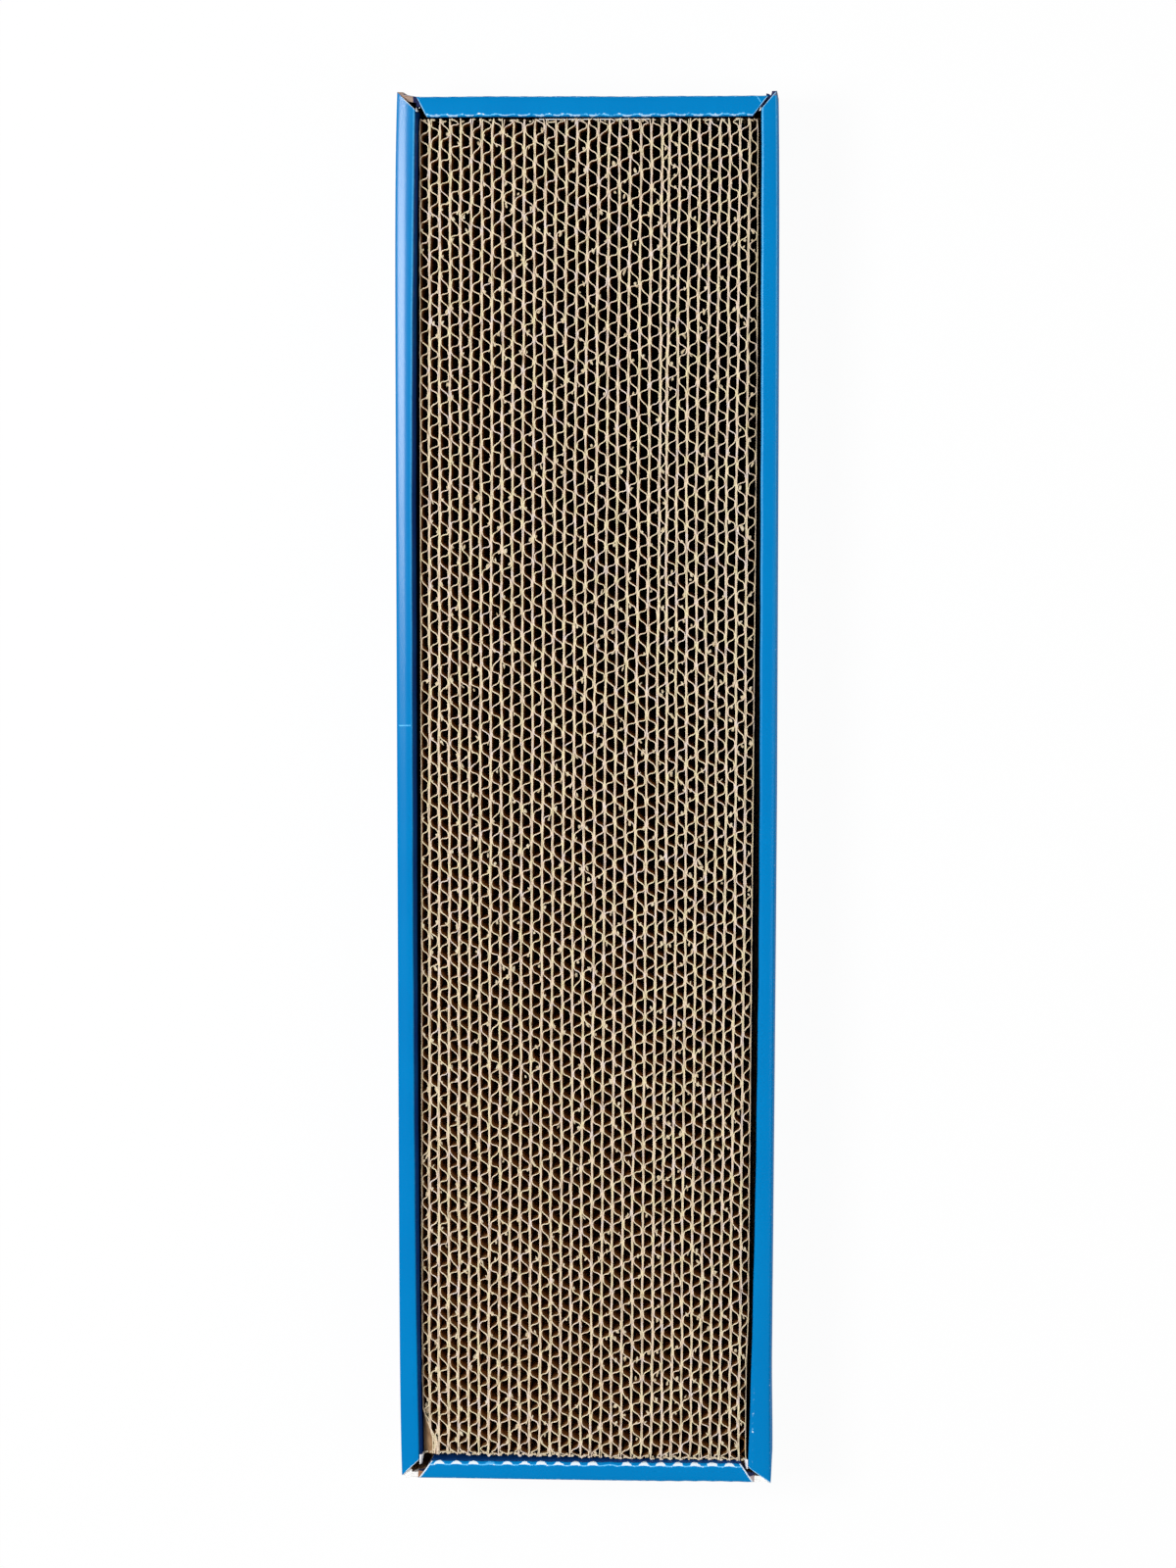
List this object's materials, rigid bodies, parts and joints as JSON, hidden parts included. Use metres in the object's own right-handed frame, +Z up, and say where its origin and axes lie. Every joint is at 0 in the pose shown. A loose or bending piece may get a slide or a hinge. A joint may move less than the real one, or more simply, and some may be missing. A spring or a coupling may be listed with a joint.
{
  "type": "cat scratcher",
  "caption": "Long shallow tray of folded printed board with mitred double-wall rims, holding a lift-out pad of corrugated strips on edge, flutes open at the top.",
  "frame": {"origin": "on the floor under the middle of the tray", "axes": "+Z up, +Y along the tray towards the end wall at the back, +X across it to the right"},
  "size_m": [0.1304, 0.48, 0.05],
  "materials": {
    "printed_board": "satin",
    "bare_board": "matte",
    "pad_board": "matte"
  },
  "bodies": {
    "tray": {"base_panel": "printed_board", "long_wall_left": "printed_board", "long_wall_right": "printed_board", "end_wall_front": "printed_board", "end_wall_back": "printed_board", "corner_flap_front_left": "bare_board", "corner_flap_front_right": "bare_board", "corner_flap_back_left": "bare_board", "corner_flap_back_right": "bare_board"},
    "pad": {"strip_01": "pad_board", "strip_02": "pad_board", "strip_03": "pad_board", "strip_04": "pad_board", "strip_05": "pad_board", "strip_06": "pad_board", "strip_07": "pad_board", "strip_08": "pad_board", "strip_09": "pad_board", "strip_10": "pad_board", "strip_11": "pad_board", "strip_12": "pad_board", "strip_13": "pad_board", "strip_14": "pad_board", "strip_15": "pad_board", "strip_16": "pad_board", "strip_17": "pad_board", "strip_18": "pad_board", "strip_19": "pad_board", "strip_20": "pad_board", "strip_21": "pad_board", "strip_22": "pad_board", "strip_23": "pad_board", "strip_24": "pad_board", "strip_25": "pad_board", "strip_26": "pad_board", "strip_27": "pad_board", "strip_28": "pad_board", "strip_29": "pad_board", "strip_30": "pad_board", "strip_31": "pad_board", "strip_32": "pad_board", "strip_33": "pad_board"}
  },
  "joints": [
    {"name": "pad_lift", "type": "slide", "parent": "tray", "child": "pad", "axis": [0, 0, 1], "range_m": [0, 0.055]}
  ]
}
